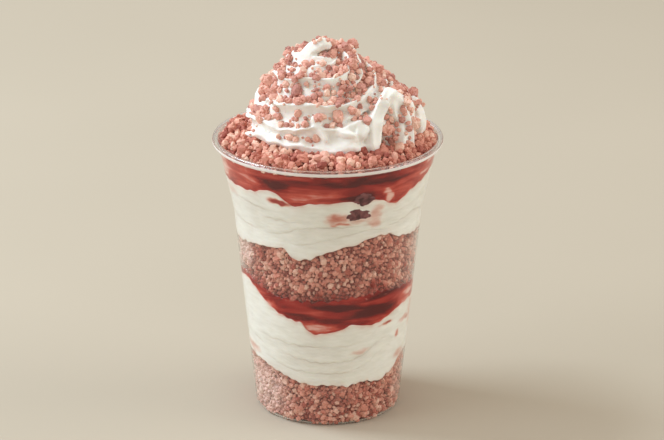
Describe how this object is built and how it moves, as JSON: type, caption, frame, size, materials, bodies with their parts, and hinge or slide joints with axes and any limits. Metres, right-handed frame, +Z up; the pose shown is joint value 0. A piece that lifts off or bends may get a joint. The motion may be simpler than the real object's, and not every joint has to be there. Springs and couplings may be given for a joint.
{
  "type": "ice cream sundae",
  "caption": "Layered strawberry ice cream sundae in a clear plastic cup: crumbs, soft serve and sauce, topped with a piped swirl of whipped cream",
  "frame": {"origin": "middle of the cup's foot, on the surface it stands on", "axes": "+Z up the cup's axis towards the tip of the cream, -Y towards the side shown at the front, +X to the right of that side"},
  "size_m": [0.098, 0.098, 0.165],
  "materials": {
    "clear_plastic": "clear, thin and glossy disposable plastic",
    "pink_crumbs": "dry, matt, porous baked crumbs",
    "vanilla_soft_serve": "smooth, soft sheen, slightly translucent",
    "strawberry_sauce": "glossy, clear deep red syrup",
    "strawberry": "wet, dark fruit flesh",
    "whipped_cream": "smooth, soft, slightly translucent"
  },
  "bodies": {
    "root": {"cup": "clear_plastic", "crumbs_bottom": "pink_crumbs", "soft_serve_lower": "vanilla_soft_serve", "sauce_middle": "strawberry_sauce", "crumbs_middle": "pink_crumbs", "soft_serve_upper": "vanilla_soft_serve", "strawberry_piece_1": "strawberry", "strawberry_piece_2": "strawberry", "sauce_upper": "strawberry_sauce", "crumbs_top": "pink_crumbs", "whipped_cream": "whipped_cream"}
  },
  "joints": []
}
